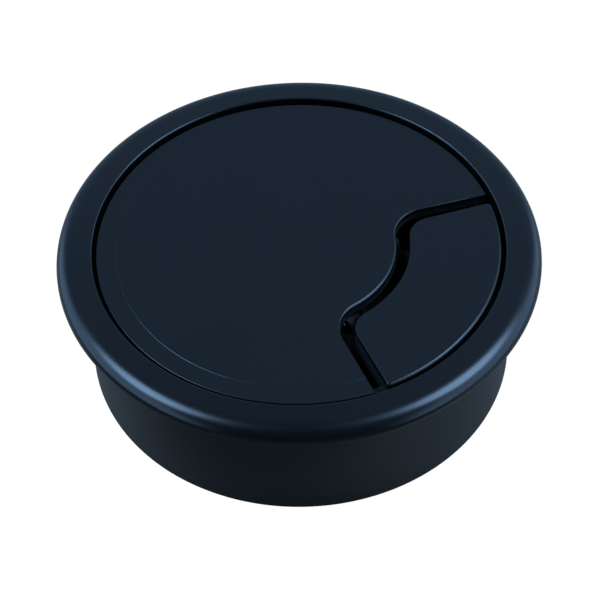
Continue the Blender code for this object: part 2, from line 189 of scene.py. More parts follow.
class FlapSizes(bpy.types.PropertyGroup):
    """Sizes of the small lid that fills the cut-out."""

    rise: turn("Rise", "Turn about the hinge that lifts the flap's outer end", 1.8)
    radius: length("Radius", "Radius of the outer edge", 28.1 * MM)
    slot: length("Slot", "Width of the open slot round the flap", 1.94 * MM)
    inner_fillet: length("Inner fillet", "Rounding of the corners by the hinge", 3.4 * MM)
    outer_fillet: length("Outer fillet", "Rounding of the corners by the rim", 0.4 * MM)
    edge: length("Edge", "Rounding of the upper edge at the outer end", 0.5 * MM)
    side_edge: length("Side edge", "Width of the rounding at the sides and the inner end", 0.08 * MM)
    wall: length("Wall", "Thickness of the walls round the hollow underside", 1.4 * MM)
    skin: length("Skin", "Thickness over the hollow underside", 1.1 * MM)
    ear_top: length("Ear top", "Depth of the stop ears below the ring", 2.4 * MM)
    ear_thickness: length("Ear thickness", "Thickness of the stop ears", 1.6 * MM)
    ear_overlap: length("Ear overlap", "Length of the stop ears under the cover", 1.0 * MM)
    ear_inner_radius: length("Ear inner radius", "Inner radius of the stop ears", 26.1 * MM)
    ear_outer_radius: length("Ear outer radius", "Outer radius of the stop ears", 27.2 * MM)
    knuckle_radius: length("Knuckle radius", "Radius of the hinge knuckles", 1.35 * MM)
    knuckle_start: length("Knuckle start", "Distance of the hinge knuckles from the middle", 5.8 * MM)
    knuckle_width: length("Knuckle width", "Width of a hinge knuckle", 2.6 * MM)
    ridge_rise: length("Ridge rise", "Height of the arms' ridge over the pin's middle", 0.8 * MM)
    shoulder_drop: length("Shoulder drop", "Depth of the arms' shoulders below the pin's middle", 0.75 * MM)
    arm_end: length("Arm end", "Place of the arms' outer end", 15.5 * MM)
    arm_inset: length("Arm inset", "Distance of an arm's sides inside its knuckle's ends", 0.05 * MM)


class HingeSizes(bpy.types.PropertyGroup):
    """Sizes of the pin and of the torsion spring wound round it."""

    pin_radius: length("Pin radius", "Radius of the hinge pin", PIN_HIGH.z - HINGE.z)
    pin_half_length: length("Pin half length", "Half the length of the hinge pin", PIN_HIGH.y)
    pin_end: length("Pin end", "Rounding of the pin's ends", 0.15 * MM)
    running_gap: length("Running gap", "Gap between the pin and its holes", 0.3 * MM)
    wire_radius: length("Wire radius", "Radius of the spring wire", 0.225 * MM)
    coil_radius: length("Coil radius", "Radius of the coil at the middle of the wire", 1.15 * MM)
    coil_turns: IntProperty(name="Coil turns", description="Whole turns of the coil", default=5, min=1)
    coil_half_length: length("Coil half length", "Half the length of the coil along the pin", 2.6 * MM)
    cover_leg: FloatVectorProperty(
        name="Cover leg",
        description="End of the leg under the cover, across and up from the pin",
        default=(-6.0 * MM, 1.1 * MM),
        size=2,
        unit="LENGTH",
    )
    flap_leg: FloatVectorProperty(
        name="Flap leg",
        description="End of the leg under the flap, across and up from the pin",
        default=(6.2 * MM, -0.65 * MM),
        size=2,
        unit="LENGTH",
    )


class Finishes(bpy.types.PropertyGroup):
    """Colours and gloss of the plastic and the steel."""

    plastic: colour("Plastic", "Colour of the moulded plastic", (0.0022, 0.0022, 0.0022))
    rim_roughness: share("Rim roughness", "Roughness of the flange", 0.25)
    sleeve_roughness: share("Sleeve roughness", "Roughness of the sleeve", 0.36)
    lid_roughness: share("Lid roughness", "Roughness of the cover and the flap", 0.3)
    inside_roughness: share("Inside roughness", "Roughness of the faces inside the slot", 0.8)
    finish_border: length("Finish border", "Height over which one gloss passes into another", 0.4 * MM)
    grain_size: length("Grain size", "Size of the moulded grain", 0.16 * MM)
    grain_depth: length("Grain depth", "Depth of the moulded grain", 0.0012 * MM)
    cloud_size: length("Cloud size", "Size of the cloudy patches in the plastic", 9.0 * MM)
    cloud_shade: share("Cloud shade", "Change of the plastic's colour in the patches", 0.12)
    cloud_gloss: share("Cloud gloss", "Change of the plastic's roughness in the patches", 0.05)
    steel: colour("Steel", "Colour of the drawn steel", (0.55, 0.56, 0.58))
    pin_shade: share("Pin shade", "Brightness of the pin's steel", 0.5)
    spring_shade: share("Spring shade", "Brightness of the spring's steel", 0.55)
    steel_roughness: share("Steel roughness", "Roughness of the drawn steel", 0.27)
    line_size: length("Line size", "Spacing of the lines from the drawing die", 1.0 * MM)
    line_shade: share("Line shade", "Darkening of the steel in its lines", 0.3)
    line_gloss: share("Line gloss", "Change of the steel's roughness in its lines", 0.16)
    line_depth: length("Line depth", "Depth of the lines in the steel", 0.004 * MM)
    pin_lines: FloatVectorProperty(
        name="Pin lines",
        description="Closeness of the pin's lines along each axis",
        default=(20.0, 0.3, 20.0),
        size=3,
    )
    spring_lines: FloatVectorProperty(
        name="Spring lines",
        description="Closeness of the spring's lines along each axis",
        default=(6.0, 6.0, 6.0),
        size=3,
    )


class StageSettings(bpy.types.PropertyGroup):
    """The camera, the lights and the floor."""

    camera_azimuth: turn("Camera azimuth", "Direction of the camera round the grommet", 25.85)
    camera_elevation: turn("Camera elevation", "Height of the camera over the horizon", 47.29)
    camera_distance: length("Camera distance", "Distance of the camera from its target", 293.8 * MM)
    camera_target: length("Camera target", "Height of the camera's target on the centre line", 20.8 * MM)
    camera_pan: turn("Camera pan", "Turn of the camera to the right", 0.0015)
    camera_tilt: turn("Camera tilt", "Turn of the camera upwards", -1.54)
    camera_roll: turn("Camera roll", "Turn of the camera about its own line of sight", -1.2)
    focal_pixels: FloatProperty(name="Focal length", description="Focal length in pixels", default=2126.0)
    left_turn: turn("Left lamp turn", "Angle of the left lamp from straight behind", 88)
    left_elevation: turn("Left lamp elevation", "Height of the left lamp over the horizon", 56.4)
    left_size: length("Left lamp size", "Width of the left lamp", 0.44)
    right_turn: turn("Right lamp turn", "Angle of the right lamp from straight behind", -81)
    right_elevation: turn("Right lamp elevation", "Height of the right lamp over the horizon", 56.5)
    right_size: length("Right lamp size", "Width of the right lamp", 0.46)
    lamp_distance: length("Lamp distance", "Distance of the lamps from the grommet", 0.9)
    lamp_power: FloatProperty(name="Lamp power", description="Power of a lamp one metre wide", default=27.8)
    light_colour: colour("Light colour", "Colour of the lamps and the room", (0.36, 0.61, 1.0))
    back_elevation: turn("Back elevation", "Height of the brightest place behind", 20)
    back_start: turn("Back start", "Angle from the brightest place where the light from behind ends", 57)
    back_full: turn("Back full", "Angle from the brightest place where the light from behind is full", 21.5)
    back_level: share("Back level", "Brightness of the room behind", 0.55)
    front_level: share("Front level", "Brightness of the room in front", 0.085)
    side_start: turn("Side start", "Angle to the side where the light from the sides starts", 33)
    side_full: turn("Side full", "Angle to the side where the light from the sides is full", 50)
    side_level: FloatProperty(name="Side level", description="Brightness of the room's sides", default=2.15)
    floor_glow: FloatProperty(name="Floor glow", description="Brightness of the floor", default=1.02)
    floor_opening: length("Floor opening", "Radius of the floor's opening under the sleeve", 29.2 * MM)
    floor_size: length("Floor size", "Radius of the floor's flat part", 1.2)
    floor_curve: length("Floor curve", "Radius of the curve from the floor into its wall", 0.6)
    floor_wall: length("Floor wall", "Height of the wall round the floor", 2.4)
    table: colour("Table", "Colour of the table under the floor", (0.45, 0.367, 0.292))
    # Painted shade: the table's colour is made darker in front of the grommet, in place of shade there
    painted_shade_front: colour("Table front", "Colour of the table in front of the grommet", (0.14, 0.115, 0.091))
    # Painted shade: a dark colour under the sleeve stands in for the shade inside it
    painted_shade_under_sleeve: colour("Table under", "Colour of the table under the sleeve", (0.04, 0.035, 0.03))
    # Where the painted shade on the table lies: its direction, and where its darkening starts and ends
    painted_shade_turn: turn("Table turn", "Angle from the camera to the table's dark part, to the left", 15)
    painted_shade_start: length("Table start", "Distance in front where the table starts to darken", 22.0 * MM)
    painted_shade_end: length("Table end", "Distance in front where the table is dark", 42.0 * MM)
    table_gap: length("Table gap", "Height of the floor over the table", 0.1 * MM)


class GrommetSettings(bpy.types.PropertyGroup):
    """All settings of the grommet."""

    liner: PointerProperty(type=LinerSizes)
    cover: PointerProperty(type=CoverSizes)
    flap: PointerProperty(type=FlapSizes)
    hinge: PointerProperty(type=HingeSizes)
    finish: PointerProperty(type=Finishes)
    stage: PointerProperty(type=StageSettings)


# Shapes

def wire(body, points, closed=True):
    """A chain of edges through points, added to a bmesh."""
    verts = [body.verts.new(point) for point in points]
    ends = verts[1:] + verts[:1] if closed else verts[1:]
    for start, end in zip(verts, ends):
        body.edges.new((start, end))
    return verts


def round_corners(body, verts, size):
    """Rounds corners of a profile."""
    bmesh.ops.bevel(
        body,
        geom=verts,
        offset=size,
        segments=EDGE_STEPS,
        profile=0.5,
        affect="VERTICES",
        material=-1,
        clamp_overlap=True,
    )


def tidy(body):
    """Merges doubled points and turns all faces outwards."""
    bmesh.ops.remove_doubles(body, verts=body.verts, dist=MERGE_DISTANCE)
    bmesh.ops.recalc_face_normals(body, faces=body.faces)
    return body


def turned(corners, segments, closed=True):
    """A solid turned about Z from a profile of (radius, height, rounding) corners."""
    body = bmesh.new()
    verts = wire(body, [(radius, 0.0, height) for radius, height, _ in corners], closed)
    groups = {}
    for vert, (_, _, size) in zip(verts, corners):
        groups.setdefault(size, []).append(vert)
    for size in sorted(groups):
        if size > 0.0:
            round_corners(body, groups[size], size)
    bmesh.ops.spin(
        body,
        geom=body.verts[:] + body.edges[:],
        cent=(0.0, 0.0, 0.0),
        axis=UP,
        angle=math.tau,
        steps=segments,
        use_merge=True,
    )
    return tidy(body)


def extruded(points, travel):
    """A solid with a flat outline, pushed along a vector."""
    body = bmesh.new()
    face = body.faces.new([body.verts.new(point) for point in points])
    moved = bmesh.ops.extrude_face_region(body, geom=[face])["geom"]
    end = [item for item in moved if isinstance(item, bmesh.types.BMVert)]
    bmesh.ops.translate(body, verts=end, vec=travel)
    return tidy(body)


def upright(outline, low, high):
    """A solid with a flat outline of (x, y) points, from one height to another."""
    return extruded([(x, y, low) for x, y in outline], (0.0, 0.0, high - low))


def lofted(layers):
    """An upright solid through layers of (height, outline), each with as many (x, y) points as the last."""
    body = bmesh.new()
    rings = []
    for height, outline in layers:
        verts = wire(body, [(x, y, height) for x, y in outline])
        rings.append(list({edge for vert in verts for edge in vert.link_edges}))
    for below, above in zip(rings, rings[1:]):
        bmesh.ops.bridge_loops(body, edges=below + above)
    bmesh.ops.holes_fill(body, edges=rings[0] + rings[-1])
    return tidy(body)


def sideways(outline, low, high):
    """A solid with a flat outline of (x, z) points that runs along Y."""
    return extruded([(x, low, z) for x, z in outline], (0.0, high - low, 0.0))


def new_object(body, name):
    """An object in the scene that takes over a bmesh."""
    mesh = bpy.data.meshes.new(name)
    body.to_mesh(mesh)
    body.free()
    item = bpy.data.objects.new(name, mesh)
    bpy.context.scene.collection.objects.link(item)
    return item


def combined(body, steps):
    """A solid after each (operation, solid) step cuts it or adds to it, with its flat faces made whole."""
    base = new_object(body, "base")
    tools = [new_object(tool, operation) for operation, tool in steps]
    for (operation, _), tool in zip(steps, tools):
        modifier = base.modifiers.new(operation, "BOOLEAN")
        modifier.operation = operation
        modifier.solver = "EXACT"
        modifier.object = tool
    result = bmesh.new()
    result.from_object(base, bpy.context.evaluated_depsgraph_get())
    for item in (base, *tools):
        mesh = item.data
        bpy.data.objects.remove(item)
        bpy.data.meshes.remove(mesh)
    bmesh.ops.remove_doubles(result, verts=result.verts, dist=MERGE_DISTANCE)
    bmesh.ops.dissolve_limit(result, angle_limit=FLAT_ANGLE, verts=result.verts, edges=result.edges)
    return result


def arc(centre, radius, start, end, steps):
    """Points on an arc about a flat centre, both ends included."""
    angles = [start + (end - start) * i / steps for i in range(steps + 1)]
    return [(centre[0] + radius * math.cos(a), centre[1] + radius * math.sin(a)) for a in angles]


def polar(radius, angle):
    """The flat point at a radius and angle about the centre line."""
    return radius * math.cos(angle), radius * math.sin(angle)


def sector(cover, inner, outer, inset, inner_fillet, outer_fillet):
    """The cut-out's outline, drawn in by an inset from its sides."""
    shift = inset - cover.cutout_spread
    angle = cover.cutout_angle
    inner_turn = angle - math.asin((shift + inner_fillet) / (inner + inner_fillet))
    outer_turn = angle - math.asin((shift + outer_fillet) / (outer - outer_fillet))
    inner_centre = polar(inner + inner_fillet, inner_turn)
    outer_centre = polar(outer - outer_fillet, outer_turn)
    square = angle + math.pi / 2
    half = arc((0.0, 0.0), inner, 0.0, inner_turn, ARC_STEPS)[:-1]
    half += arc(inner_centre, inner_fillet, inner_turn + math.pi, square, FILLET_STEPS)
    half += arc(outer_centre, outer_fillet, square, outer_turn, FILLET_STEPS)
    half += arc((0.0, 0.0), outer, outer_turn, 0.0, ARC_STEPS)[1:]
    return half + [(x, -y) for x, y in reversed(half[1:-1])]


def edge_steps(size):
    """A rounded edge as steps of (depth below the top, share of the edge's width)."""
    angles = [math.pi / 2 * i / FINE_EDGE_STEPS for i in range(FINE_EDGE_STEPS + 1)]
    return [(size * (1 - math.sin(angle)), 1 - math.cos(angle)) for angle in angles]


def eye(radius):
    """A round outline about the pin, as (x, z) points."""
    return arc((HINGE.x, HINGE.z), radius, 0.0, math.tau, PIN_SEGMENTS)[:-1]


def pin_hole(hinge):
    """Cutter for the running hole round the pin."""
    reach = hinge.pin_half_length + PAST
    return sideways(eye(hinge.pin_radius + hinge.running_gap), -reach, reach)


def add_piece(body, name, node, rides_on, material):
    """Makes a bmesh the piece that is seen in place of a node of the frame, on a body if it rides on one."""
    piece = new_object(body, name)
    piece.data.materials.append(material)
    piece.data.shade_smooth()
    piece.data.set_sharp_from_angle(angle=SHARP_ANGLE)
    if rides_on:
        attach(piece, rides_on)
    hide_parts(node)
    return piece


def even_shading(piece):
    """Lets large flat faces set the shading beside rounded edges."""
    modifier = piece.modifiers.new("even_shading", "WEIGHTED_NORMAL")
    modifier.mode = "FACE_AREA"
    modifier.keep_sharp = True


# Finishes

class Signal:
    """A shader socket that takes part in sums: each operator adds its Math node."""

    def __init__(self, paint, socket):
        self.paint = paint
        self.socket = socket

    def math(self, operation, first, second):
        """Adds a Math node for two numbers or signals."""
        return self.paint.node("ShaderNodeMath", {"operation": operation}, {0: first, 1: second})

    def __add__(self, other):
        return self.math("ADD", self, other)

    def __radd__(self, other):
        return self.math("ADD", other, self)

    def __sub__(self, other):
        return self.math("SUBTRACT", self, other)

    def __rsub__(self, other):
        return self.math("SUBTRACT", other, self)

    def __mul__(self, other):
        return self.math("MULTIPLY", self, other)

    def __rmul__(self, other):
        return self.math("MULTIPLY", other, self)


class Paint:
    """A node tree that is written as expressions."""

    def __init__(self, tree):
        self.tree = tree

    def node(self, kind, settings, values, outlet=0):
        """Adds a node: its settings first, then the numbers or links of its sockets."""
        made = self.tree.nodes.new(kind)
        for key, value in settings.items():
            setattr(made, key, value)
        for key, value in values.items():
            if isinstance(value, Signal):
                self.tree.links.new(value.socket, made.inputs[key])
            else:
                made.inputs[key].default_value = value
        return Signal(self, made.outputs[outlet])

    def place(self):
        """Object coordinates."""
        return self.node("ShaderNodeTexCoord", {}, {}, "Object")

    def stretched(self, place, scales):
        """Coordinates with their own scale along each axis."""
        return self.node("ShaderNodeVectorMath", {"operation": "MULTIPLY"}, {0: place, 1: scales})

    def along(self, place, way):
        """How far a place lies along a way."""
        return self.node("ShaderNodeVectorMath", {"operation": "DOT_PRODUCT"}, {0: place, 1: way}, "Value")

    def speckle(self, place, size, detail):
        """Even noise with patches of a real size."""
        values = {"Vector": place, "Scale": 1.0 / size, "Detail": detail}
        return self.node("ShaderNodeTexNoise", {}, values, "Fac")

    def ramp(self, value, low, high):
        """Rises smoothly from 0 to 1 between two values."""
        settings = {"interpolation_type": "SMOOTHSTEP"}
        return self.node("ShaderNodeMapRange", settings, {"Value": value, "From Min": low, "From Max": high})

    def blend(self, factor, first, second):
        """Mixes two colours."""
        values = {MIX_FACTOR: factor, MIX_FIRST: (*first, 1.0), MIX_SECOND: (*second, 1.0)}
        return self.node("ShaderNodeMix", {"data_type": "RGBA"}, values, MIX_RESULT)

    def bump(self, height, depth):
        """Surface relief of a real depth."""
        values = {"Height": height, "Distance": depth, "Strength": 1.0}
        return self.node("ShaderNodeBump", {}, values, "Normal")

    def feed(self, shader, signals):
        """Links signals to a shader's sockets."""
        for name, signal in signals.items():
            self.tree.links.new(signal.socket, shader.inputs[name])


def new_finish(name, metallic):
    """A Principled material, and the node tree that paints it."""
    material = bpy.data.materials.new(name)
    material.use_nodes = True
    shader = material.node_tree.nodes["Principled BSDF"]
    shader.inputs["Metallic"].default_value = metallic
    return material, shader, Paint(material.node_tree)


def moulded_plastic(name, finish, polished, dull, dull_below):
    """Satin black plastic: a fine moulded grain, cloudy gloss, and a duller finish below a height."""
    material, shader, paint = new_finish(name, 0.0)
    place = paint.place()
    cloud = paint.speckle(place, finish.cloud_size, CLOUD_DETAIL)
    grain = paint.speckle(place, finish.grain_size, GRAIN_DETAIL)
    height = paint.node("ShaderNodeSeparateXYZ", {}, {0: place}, "Z")
    upper = paint.ramp(height, dull_below - finish.finish_border, dull_below)
    dark = [(1.0 - finish.cloud_shade) * c for c in finish.plastic]
    light = [(1.0 + finish.cloud_shade) * c for c in finish.plastic]
    paint.feed(shader, {
        "Base Color": paint.blend(cloud, dark, light),
        "Roughness": dull + (polished - dull) * upper + finish.cloud_gloss * (cloud - NOISE_MIDDLE),
        "Normal": paint.bump(grain, finish.grain_depth),
    })
    return material


def drawn_steel(name, finish, shade, scales):
    """Steel wire or rod with fine lines from the drawing die."""
    material, shader, paint = new_finish(name, 1.0)
    lines = paint.speckle(paint.stretched(paint.place(), scales), finish.line_size, LINE_DETAIL)
    dark = [(1.0 - finish.line_shade) * shade * c for c in finish.steel]
    light = [shade * c for c in finish.steel]
    paint.feed(shader, {
        "Base Color": paint.blend(lines, dark, light),
        "Roughness": finish.steel_roughness + finish.line_gloss * (lines - NOISE_MIDDLE),
        "Normal": paint.bump(lines, finish.line_depth),
    })
    return material


# Pieces

class GROMMET_OT_make_liner(bpy.types.Operator):
    """Turns the flange and sleeve from one profile"""

    bl_idname = "grommet.make_liner"
    bl_label = "Make liner"

    def execute(self, context):
        settings = context.scene.grommet
        liner = settings.liner
        under = HEIGHT - liner.flange_thickness
        groove_top = HEIGHT - liner.groove_depth + liner.groove_height / 2
        groove_bottom = groove_top - liner.groove_height
        corners = [(radius, height, 0.0) for radius, height in self.rim(liner)]
        corners += [
            (liner.flange_radius, under, liner.flange_edge),
            (liner.sleeve_radius, under, liner.root_fillet),
            (liner.sleeve_radius, 0.0, liner.sleeve_end),
            (liner.bore_radius, 0.0, liner.sleeve_end),
            (liner.bore_radius, groove_bottom, 0.0),
            (liner.groove_radius, groove_bottom + liner.groove_slope, 0.0),
            (liner.groove_radius, groove_top - liner.groove_slope, 0.0),
            (liner.bore_radius, groove_top, 0.0),
        ]
        finish = settings.finish
        material = moulded_plastic(
            "liner_plastic", finish, finish.rim_roughness, finish.sleeve_roughness, under
        )
        body = turned(corners, TURN_SEGMENTS)
        even_shading(add_piece(body, "liner_shell", "liner", "liner", material))
        return {"FINISHED"}

    @staticmethod
    def rim(liner):
        """The flange's top: the bore's round edge, a ring with a slight slope, and part of an ellipse."""
        inner = liner.bore_radius + liner.bore_edge
        centre = liner.flange_radius - liner.rim_width
        start = math.atan2(liner.rim_drop / liner.rim_width, math.tan(liner.ring_slope))
        ring = centre + liner.rim_width * math.cos(start) - inner
        level = HEIGHT - ring * math.tan(liner.ring_slope) - liner.rim_drop * math.sin(start)
        angles = [start * (1 - i / RIM_STEPS) for i in range(RIM_STEPS + 1)]
        edge_centre = (inner, HEIGHT - liner.bore_edge)
        edge_end = math.pi / 2 - liner.ring_slope
        points = arc(edge_centre, liner.bore_edge, math.pi, edge_end, FINE_EDGE_STEPS)
        return points + [
            (centre + liner.rim_width * math.cos(angle), level + liner.rim_drop * math.sin(angle))
            for angle in angles
        ]


class GROMMET_OT_make_cover(bpy.types.Operator):
    """Turns the lid and cuts its cable opening, its snap fingers and its hinge"""

    bl_idname = "grommet.make_cover"
    bl_label = "Make cover"

    def execute(self, context):
        settings = context.scene.grommet
        cover = settings.cover
        solid = combined(turned(self.profile(cover), TURN_SEGMENTS, closed=False), [
            ("DIFFERENCE", self.cutout(cover)),
            ("DIFFERENCE", self.window(cover)),
            *[("DIFFERENCE", self.finger_gap(cover, number)) for number in range(1, cover.fingers)],
            ("UNION", self.lug(cover, cover.lug_start)),
            ("UNION", self.lug(cover, -cover.lug_start - cover.lug_width)),
            ("DIFFERENCE", pin_hole(settings.hinge)),
        ])
        finish = settings.finish
        edge_bottom = HEIGHT - cover.drop - cover.cutout_edge
        material = moulded_plastic(
            "cover_plastic", finish, finish.lid_roughness, finish.inside_roughness, edge_bottom
        )
        even_shading(add_piece(solid, "cover_lid", "cover", "cover", material))
        return {"FINISHED"}

    @staticmethod
    def profile(cover):
        """Half section of the lid, from the centre line over the plate and round the skirt."""
        top = HEIGHT - cover.drop
        border = top - cover.panel_step
        plate_bottom = top - cover.plate
        bead = HEIGHT - cover.bead_depth
        end = HEIGHT - cover.skirt_depth
        inside = cover.skirt_radius - cover.skirt_wall
        return [
            (0.0, top, 0.0),
            (cover.panel_radius, top, cover.panel_edge),
            (cover.panel_radius + cover.panel_slope, border, cover.panel_edge),
            (cover.radius, border, cover.edge),
            (cover.radius, plate_bottom, 0.0),
            (cover.skirt_radius, plate_bottom - cover.edge, 0.0),
            (cover.skirt_radius, bead + cover.bead_height / 2, 0.0),
            (cover.bead_radius, bead, 0.0),
            (cover.skirt_radius, bead - cover.bead_height / 2, 0.0),
            (cover.skirt_radius, end, cover.edge),
            (inside, end, 0.0),
            (inside, plate_bottom, 0.0),
            (0.0, plate_bottom, 0.0),
        ]

    @staticmethod
    def cutout(cover):
        """Cutter for the cable opening, out past the lid, which flares at the top to round its edge."""
        top = HEIGHT - cover.drop
        places = [(HEIGHT - cover.skirt_depth - PAST, 0.0)]
        places += [(top - depth, flare) for depth, flare in edge_steps(cover.cutout_edge)]
        places.append((HEIGHT + PAST, 1.0))
        return lofted([
            (height, sector(
                cover,
                cover.cutout_radius - flare * cover.cutout_edge,
                cover.radius + PAST,
                -flare * cover.cutout_side_edge,
                cover.cutout_fillet + flare * cover.cutout_edge,
                SUNK,
            ))
            for height, flare in places
        ])

    @staticmethod
    def window(cover):
        """Cutter that keeps the skirt out of the flap's path."""
        inside = cover.skirt_radius - cover.skirt_wall - SUNK
        outline = arc((0.0, 0.0), cover.bead_radius + PAST, -cover.window, cover.window, ARC_STEPS)
        outline += arc((0.0, 0.0), inside, cover.window, -cover.window, ARC_STEPS)
        return upright(outline, HEIGHT - cover.skirt_depth - PAST, HEIGHT - cover.drop - cover.plate)

    @staticmethod
    def finger_gap(cover, number):
        """Cutter for one of the gaps between the snap fingers."""
        angle = cover.window + (math.tau - 2 * cover.window) * number / cover.fingers
        inside = cover.skirt_radius - cover.skirt_wall - SUNK
        depth = cover.drop + cover.plate
        size = Vector((
            cover.bead_radius + PAST - inside,
            cover.finger_gap,
            cover.skirt_depth + PAST - depth,
        ))
        body = bmesh.new()
        bmesh.ops.create_cube(body, size=1.0)
        bmesh.ops.scale(body, verts=body.verts, vec=size)
        centre = Vector((inside + size.x / 2, 0.0, HEIGHT - depth - size.z / 2))
        bmesh.ops.translate(body, verts=body.verts, vec=centre)
        bmesh.ops.rotate(body, verts=body.verts, matrix=Matrix.Rotation(angle, 3, "Z"))
        return body

    @staticmethod
    def lug(cover, low):
        """One of the two lugs that hold the pin."""
        top = HEIGHT - cover.drop - cover.plate + SUNK
        outline = arc((HINGE.x, HINGE.z), cover.lug_radius, math.pi, math.tau, PIN_SEGMENTS // 2)
        outline += [(HINGE.x + cover.lug_radius, top), (HINGE.x - cover.lug_radius, top)]
        return sideways(outline, low, low + cover.lug_width)


class GROMMET_OT_make_flap(bpy.types.Operator):
    """Makes the small lid with its stop ears, hollow underside and hinge knuckles"""

    bl_idname = "grommet.make_flap"
    bl_label = "Make flap"

    def execute(self, context):
        settings = context.scene.grommet
        flap = settings.flap
        top = HEIGHT - settings.cover.drop
        ear_top = HEIGHT - flap.ear_top
        bottom = ear_top - flap.ear_thickness
        layers = [(bottom, self.outline(settings, 0.0, 0.0))]
        for depth, inset in edge_steps(flap.edge):
            layers.append((top - depth, self.outline(settings, inset * flap.side_edge, inset * flap.edge)))
        land = lofted(layers)
        bmesh.ops.rotate(land, verts=land.verts, cent=HINGE, matrix=Matrix.Rotation(-flap.rise, 3, "Y"))
        pocket = upright(self.outline(settings, flap.wall, flap.wall), bottom - PAST, top - flap.skin)
        steps = [("UNION", upright(self.ears(settings), bottom, ear_top)), ("DIFFERENCE", pocket)]
        for low in (flap.knuckle_start, -flap.knuckle_start - flap.knuckle_width):
            steps.append(("UNION", self.arm(flap, low)))
            steps.append(("UNION", sideways(eye(flap.knuckle_radius), low, low + flap.knuckle_width)))
        steps.append(("DIFFERENCE", pin_hole(settings.hinge)))
        finish = settings.finish
        material = moulded_plastic(
            "flap_plastic", finish, finish.lid_roughness, finish.inside_roughness, top - flap.edge
        )
        solid = combined(land, steps)
        even_shading(add_piece(solid, "flap_lid", "flap", "flap", material))
        return {"FINISHED"}

    @staticmethod
    def outline(settings, inset, outer_inset):
        """The flap's outline, drawn in at its sides and inner end, and at its outer end."""
        flap, cover = settings.flap, settings.cover
        return sector(
            cover,
            cover.cutout_radius + flap.slot + inset,
            flap.radius - outer_inset,
            flap.slot + inset,
            flap.inner_fillet,
            flap.outer_fillet,
        )

    @staticmethod
    def ears(settings):
        """A bow along the outer edge, whose ends reach under the cover."""
        flap, cover = settings.flap, settings.cover
        shift = cover.cutout_spread + flap.ear_overlap
        outer = cover.cutout_angle + math.asin(shift / flap.ear_outer_radius)
        inner = cover.cutout_angle + math.asin(shift / flap.ear_inner_radius)
        outline = arc((0.0, 0.0), flap.ear_outer_radius, -outer, outer, 2 * ARC_STEPS)
        return outline + arc((0.0, 0.0), flap.ear_inner_radius, inner, -inner, 2 * ARC_STEPS)

    @staticmethod
    def arm(flap, low):
        """One of the two ridged arms, from the pin into the wall at the flap's inner end."""
        high = low + flap.knuckle_width - flap.arm_inset
        low += flap.arm_inset
        outline = [
            (low, HINGE.z - flap.knuckle_radius),
            (high, HINGE.z - flap.knuckle_radius),
            (high, HINGE.z - flap.shoulder_drop),
            ((low + high) / 2, HINGE.z + flap.ridge_rise),
            (low, HINGE.z - flap.shoulder_drop),
        ]
        return extruded([(HINGE.x, y, z) for y, z in outline], (flap.arm_end - HINGE.x, 0.0, 0.0))


class GROMMET_OT_make_pin(bpy.types.Operator):
    """Turns the steel hinge pin"""

    bl_idname = "grommet.make_pin"
    bl_label = "Make hinge pin"

    def execute(self, context):
        settings = context.scene.grommet
        hinge = settings.hinge
        half = hinge.pin_half_length
        body = turned([
            (0.0, half, 0.0),
            (hinge.pin_radius, half, hinge.pin_end),
            (hinge.pin_radius, -half, hinge.pin_end),
            (0.0, -half, 0.0),
        ], PIN_SEGMENTS, closed=False)
        bmesh.ops.rotate(body, verts=body.verts, matrix=Matrix.Rotation(math.pi / 2, 3, "X"))
        bmesh.ops.translate(body, verts=body.verts, vec=HINGE)
        finish = settings.finish
        material = drawn_steel("pin_steel", finish, finish.pin_shade, finish.pin_lines)
        even_shading(add_piece(body, "pin_rod", "hinge_pin", "cover", material))
        return {"FINISHED"}


class GROMMET_OT_make_spring(bpy.types.Operator):
    """Winds the torsion spring from one wire, with a leg under the cover and one under the flap"""

    bl_idname = "grommet.make_spring"
    bl_label = "Make torsion spring"

    def execute(self, context):
        settings = context.scene.grommet
        hinge = settings.hinge
        start = self.leg_turn(hinge, hinge.cover_leg)
        end = self.leg_turn(hinge, hinge.flap_leg)
        sweep = (end - start) % math.tau + math.tau * hinge.coil_turns
        steps = round(sweep / math.tau * COIL_STEPS_PER_TURN)
        body = bmesh.new()
        bmesh.ops.create_circle(body, cap_ends=True, segments=WIRE_SIDES, radius=hinge.wire_radius)
        first = body.faces[:][0]
        bmesh.ops.translate(body, verts=body.verts, vec=(hinge.coil_radius, hinge.coil_half_length, 0.0))
        bmesh.ops.rotate(body, verts=body.verts, matrix=Matrix.Rotation(-start, 3, "Y"))
        wound = bmesh.ops.spin(
            body,
            geom=[first, *first.edges, *first.verts],
            cent=(0.0, 0.0, 0.0),
            axis=(0.0, -1.0, 0.0),
            dvec=(0.0, -2 * hinge.coil_half_length / steps, 0.0),
            angle=sweep,
            steps=steps,
        )
        last = next(item for item in wound["geom_last"] if isinstance(item, bmesh.types.BMFace))
        self.straight_leg(body, last, hinge.flap_leg, end, hinge)
        self.straight_leg(body, first, hinge.cover_leg, start, hinge)
        bmesh.ops.translate(body, verts=body.verts, vec=HINGE)
        finish = settings.finish
        material = drawn_steel("spring_steel", finish, finish.spring_shade, finish.spring_lines)
        wound_wire = add_piece(tidy(body), "spring_wire", "torsion_spring", None, material)
        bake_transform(wound_wire)
        return {"FINISHED"}

    @staticmethod
    def leg_turn(hinge, end):
        """The angle on the coil, below the pin, where a straight leg to an end point leaves it."""
        bearing = math.atan2(end[1], end[0])
        spread = math.acos(hinge.coil_radius / math.hypot(*end))
        return bearing - spread if end[0] > 0 else bearing + spread

    @staticmethod
    def straight_leg(body, face, end, angle, hinge):
        """Draws the wire out from an end of the coil."""
        leaving = Vector(polar(hinge.coil_radius, angle))
        travel = Vector(end) - leaving
        moved = bmesh.ops.extrude_face_region(body, geom=[face, *face.edges, *face.verts])["geom"]
        tip = [item for item in moved if isinstance(item, bmesh.types.BMVert)]
        bmesh.ops.translate(body, verts=tip, vec=(travel.x, 0.0, travel.y))


# Stage

